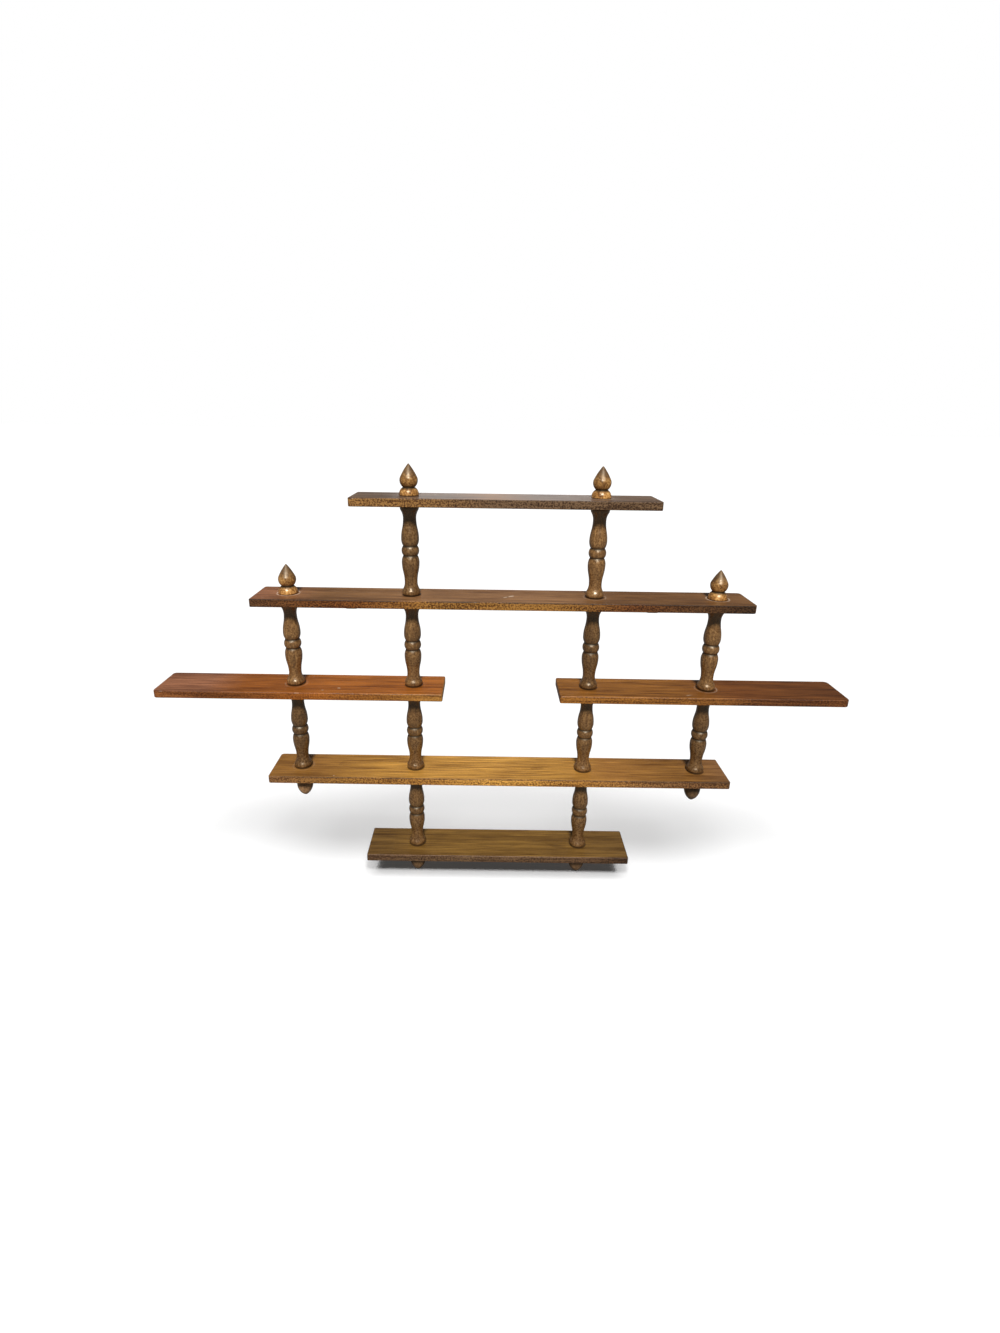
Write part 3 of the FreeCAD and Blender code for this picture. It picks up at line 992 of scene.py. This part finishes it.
finialGroove = finialSizes["groove"][1]
finialPattern = turnPiece(finialOutline(finialSizes))
markShadedHollows(finialPattern, [(0.0, finialFinish["footReach"]), (finialGroove, finialFinish["grooveReach"])])
markTip(finialPattern, finialSizes["bulb"][1], finialFinish["tipEnd"] * finialSizes["height"])
# the collar lighter than the bulb, partly its own tone and partly a painted highlight
markPoints(
    finialPattern,
    "stained",
    lambda height: finialFinish["collarToneAndHighlight" if height < finialGroove else "bulbDepth"],
)
dropPattern = turnPiece(dropOutline(dropSizes, finialSizes))
markShadedHollows(dropPattern, [(0.0, dropFinish["footReach"]), (-finialGroove, dropFinish["grooveReach"])])
markTip(dropPattern, -dropSizes["bulb"][1], -dropSizes["height"])
for index, column in enumerate(columnNames):
    finialNode, dropNode = f"finial_{column}", f"drop_{column}"
    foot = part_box(finialNode)[0].z
    finial = placeCopy(finialPattern, (columns[column].x, columns[column].y, foot), turnStep * index)
    handOver(finial, finialNode, finialNode, finialWood)
    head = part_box(dropNode)[1].z
    drop = placeCopy(dropPattern, (columns[column].x, columns[column].y, head), turnStep * index)
    markPoints(drop, "stained", lambda height: dropFinish["copyToneAndShade"][column])
    handOver(drop, dropNode, dropNode, dropWood)
bpy.data.objects.remove(finialPattern)
bpy.data.objects.remove(dropPattern)
print("finials and drops turned:", 2 * len(columnNames))


# steel hangers and screws
steelFinish = {
    "plate": (0.5, 0.44, 0.32),
    "screw": (0.58, 0.56, 0.52),
    "dull": 0.62,
    "patches": {"brushed": (300, 300, 3000, 2), "cloud": (220, 220, 220, 3)},
    "cloud": 1.4,
    "toneSpan": 0.6,
    "roughness": 0.36,
    "cloudRoughness": 0.3,
    "brushedRoughness": 0.15,
}


def platedSteel(name, colour):
    material, place, shader = newFinish(name)
    noises = place.noises(steelFinish["patches"])
    brushed, cloud = noises["brushed"], noises["cloud"]
    tone = (brushed + cloud * steelFinish["cloud"]).rise(-steelFinish["toneSpan"], steelFinish["toneSpan"])
    dull = tuple(steelFinish["dull"] * part for part in colour)
    roughness = steelFinish["roughness"] + cloud * steelFinish["cloudRoughness"]
    feed(
        shader,
        Base_Color=tone.blend(rgba(dull), rgba(colour)),
        Metallic=1.0,
        Roughness=roughness + brushed * steelFinish["brushedRoughness"],
    )
    return material


plateSteel = platedSteel("steel_plates", steelFinish["plate"])
screwSteel = platedSteel("steel_screws", steelFinish["screw"])
keptSteel = {
    "hanger_left": plateSteel,
    "hanger_right": plateSteel,
    "hanger_screws": screwSteel,
    "column_screws": screwSteel,
}
for node, steel in keptSteel.items():
    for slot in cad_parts[node].material_slots:
        slot.material = steel

# dowel screws of the finials and drops: heights in millimetres from the finial's foot
dowelScrew = {
    "low": -25.74,
    "high": 15.0,
    "point": 4.0,
    "core": 1.75,
    "shank": 2.15,
    "shankEnds": (-9.0, -0.6),
    "shankStep": 0.4,
    "crest": 2.4,
    "ridge": 1.5,
    "ridgeFoot": 0.9,
    "pitch": 2.54,
    "threads": [(-22.4, 5), (0.2, 4)],
    "steps": 32,
    "endSides": 4,
    "smoothAngle": 30,
}


def coreOutline(sizes):
    start, end = sizes["shankEnds"]
    return [
        (0.0, sizes["low"]),
        (sizes["core"], sizes["low"] + sizes["point"]),
        (sizes["core"], start - sizes["shankStep"]),
        (sizes["shank"], start),
        (sizes["shank"], end),
        (sizes["core"], end + sizes["shankStep"]),
        (sizes["core"], sizes["high"] - sizes["point"]),
        (0.0, sizes["high"]),
    ]


def windThread(sizes, start, turns):
    # a three-cornered ridge wound round the core, closed at both ends
    foot = sizes["ridgeFoot"] * sizes["core"]
    crest = (sizes["crest"], start + sizes["ridge"] / 2)
    ridge = drawOut([(foot, start), crest, (foot, start + sizes["ridge"])])
    bpy.ops.mesh.edge_face_add()
    bpy.ops.object.mode_set(mode="OBJECT")
    thread = ridge.modifiers.new("thread", "SCREW")
    thread.axis = "Z"
    thread.angle = 2 * math.pi
    thread.screw_offset = sizes["pitch"] * mm
    thread.iterations = turns
    thread.steps = sizes["steps"]
    thread.render_steps = sizes["steps"]
    makeActive(ridge)
    bpy.ops.object.modifier_apply(modifier=thread.name)
    bpy.ops.object.mode_set(mode="EDIT")
    bpy.ops.mesh.select_all(action="SELECT")
    bpy.ops.mesh.remove_doubles(threshold=mergeGap)
    bpy.ops.mesh.fill_holes(sides=sizes["endSides"])
    bpy.ops.mesh.select_all(action="SELECT")
    bpy.ops.mesh.normals_make_consistent(inside=False)
    bpy.ops.object.mode_set(mode="OBJECT")
    return ridge


screwPattern = turnPiece(coreOutline(dowelScrew))
for start, turns in dowelScrew["threads"]:
    ridge = windThread(dowelScrew, start, turns)
    makeActive(screwPattern)
    ridge.select_set(True)
    bpy.ops.object.join()
finishShading(screwPattern, dowelScrew["smoothAngle"])
for column in columnNames:
    for kind, tilt in (("finial", 0.0), ("drop", math.pi)):
        node = f"{kind}_screw_{column}"
        low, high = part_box(node)
        foot = low.z - dowelScrew["low"] * mm if kind == "finial" else high.z + dowelScrew["low"] * mm
        screw = placeCopy(screwPattern, (columns[column].x, columns[column].y, foot), 0.0, tilt)
        handOver(screw, node, f"{kind}_{column}_screw", screwSteel)
bpy.data.objects.remove(screwPattern)
print("steel dressed, dowel screws threaded")


# camera, as the photograph was taken
cameraPlan = {
    "place": (-0.02076, -0.82993, 0.24123),
    "yaw": 0.00053,
    "pitch": 0.32792,
    "roll": -0.01424,
    "sensor": 36.0,
    "focalPixels": 639.88,
    "imageHeight": 1333,
    "shift": (0.01005, -0.0241),
}


def setCamera(plan):
    camera = bpy.data.cameras.new("camera")
    camera.sensor_width = plan["sensor"]
    camera.lens = plan["focalPixels"] / plan["imageHeight"] * camera.sensor_width
    camera.shift_x, camera.shift_y = plan["shift"]
    holder = bpy.data.objects.new("camera", camera)
    bpy.context.scene.collection.objects.link(holder)
    yaw, pitch, roll = plan["yaw"], plan["pitch"], plan["roll"]
    forward = Vector((math.sin(yaw) * math.cos(pitch), math.cos(yaw) * math.cos(pitch), -math.sin(pitch)))
    right = Vector((math.cos(yaw), -math.sin(yaw), 0.0))
    down = forward.cross(right)
    across = math.cos(roll) * right + math.sin(roll) * down
    below = -math.sin(roll) * right + math.cos(roll) * down
    turn = Matrix((across, -below, -forward)).transposed()
    holder.matrix_world = Matrix.Translation(plan["place"]) @ turn.to_4x4()
    bpy.context.scene.camera = holder


setCamera(cameraPlan)


# light: each lamp's level is what it gives to a level surface, and 1 is a plain full light
lightPlan = {
    "key": {"level": 0.86, "height": 45, "side": 0, "spread": 11},
    "floorLamps": [
        {"level": 0.25, "height": 66, "side": -26, "spread": 24},
        {"level": 0.25, "height": 66, "side": 26, "spread": 24},
    ],
    "contactLamps": [
        {"level": 0.29, "height": 52, "side": -16, "spread": 7},
        {"level": 0.29, "height": 52, "side": 16, "spread": 7},
    ],
    "backLamp": {"power": 1.6, "width": 0.7, "height": 0.4, "place": (0.02, 1.45, 0.36)},
    "backFill": {"level": 0.04, "height": 6, "side": 180, "spread": 40},
    "dome": 0.05,
    "mirrored": 0.12,  # how bright the white all round looks in the lacquer
}
floorPlan = {"size": 60.0, "colour": 0.97, "bounce": 0.1}
bpy.context.scene.view_settings.view_transform = "Standard"


def addSun(name, plan):
    deselectAll()
    height = math.radians(plan["height"])
    bpy.ops.object.light_add(type="SUN", rotation=(math.pi / 2 - height, 0, math.radians(plan["side"])))
    lamp = bpy.context.object
    lamp.name = name
    lamp.data.energy = math.pi * plan["level"] / math.sin(height)
    lamp.data.angle = math.radians(plan["spread"])
    return lamp


def addBackLamp(plan):
    # a small soft box far behind, which shows only as a sheen on what faces up
    deselectAll()
    aim = middleOf("shelf_top") - Vector(plan["place"])
    turn = aim.to_track_quat("-Z", "Y").to_euler()
    bpy.ops.object.light_add(type="AREA", location=plan["place"], rotation=turn)
    lamp = bpy.context.object
    lamp.name = "back_lamp"
    lamp.data.shape = "RECTANGLE"
    lamp.data.size = plan["width"]
    lamp.data.size_y = plan["height"]
    lamp.data.energy = plan["power"]
    lamp.visible_camera = False
    return lamp


def keepTo(lamp, target, state="INCLUDE"):
    # the lamp lights nothing but the target, or everything but the target
    group = bpy.data.collections.new(lamp.name + "_lights")
    group.objects.link(target)
    lamp.light_linking.receiver_collection = group
    group.collection_objects[0].light_linking.link_state = state


def shadeOnly(lamp, blockers):
    # only these pieces stand in the lamp's way
    group = bpy.data.collections.new(lamp.name + "_shadows")
    for blocker in blockers:
        group.objects.link(blocker)
    lamp.light_linking.blocker_collection = group


def seenWhite(shade):
    # 1 for what the camera sees straight or through glass, and part of it in a reflection
    rays = shade.node("LightPath").socket.node.outputs
    seen = Shade(shade.tree, rays["Is Camera Ray"]).larger(Shade(shade.tree, rays["Is Transmission Ray"]))
    return seen.larger(Shade(shade.tree, rays["Is Glossy Ray"]) * lightPlan["mirrored"])


def setWorld(dome):
    world = bpy.data.worlds.new("dome")
    world.use_nodes = True
    tree = world.node_tree
    background = tree.nodes["Background"]
    background.inputs["Color"].default_value = (1, 1, 1, 1)
    strength = seenWhite(Shade(tree, None)).larger(dome)
    tree.links.new(strength.socket, background.inputs["Strength"])
    bpy.context.scene.world = world


def layFloor(plan):
    deselectAll()
    bpy.ops.mesh.primitive_plane_add(size=plan["size"], location=(0, 0, cadBox[0].z))
    floor = bpy.context.object
    floor.name = "floor"
    material = bpy.data.materials.new("floor_white")
    material.use_nodes = True
    tree = material.node_tree
    tree.nodes.remove(tree.nodes["Principled BSDF"])
    shade = Shade(tree, None)
    paint = shade.node("BsdfDiffuse", {}, {"Color": rgba([plan["colour"]] * 3)})
    lift = shade.node("Emission", {}, {"Strength": 1 - plan["colour"]})
    pale = shade.node("AddShader", {}, {0: paint, 1: lift})
    dim = shade.node("BsdfDiffuse", {}, {"Color": rgba([plan["bounce"]] * 3)})
    both = shade.node("MixShader", {}, {0: seenWhite(shade), 1: dim, 2: pale})
    tree.links.new(both.socket, tree.nodes["Material Output"].inputs["Surface"])
    floor.data.materials.append(material)
    return floor


key = addSun("key", lightPlan["key"])
floorLamps = [addSun("floor_lamp", lamp) for lamp in lightPlan["floorLamps"]]
contactLamps = [addSun("contact_lamp", lamp) for lamp in lightPlan["contactLamps"]]
backLamp = addBackLamp(lightPlan["backLamp"])
backFill = addSun("back_fill", lightPlan["backFill"])
backFill.visible_glossy = False  # no sheen towards the front
floor = layFloor(floorPlan)
keepTo(key, floor, "EXCLUDE")
keepTo(backFill, floor, "EXCLUDE")
for lamp in floorLamps + contactLamps:
    keepTo(lamp, floor)
lowPieces = ["shelf_bottom", "drop_inner_left", "drop_inner_right"]
for lamp in contactLamps:
    shadeOnly(lamp, [bpy.data.objects["dressed_" + node] for node in lowPieces])
keepTo(backLamp, bpy.data.objects["dressed_shelf_top"])
setWorld(lightPlan["dome"])
print("camera, light and floor set")
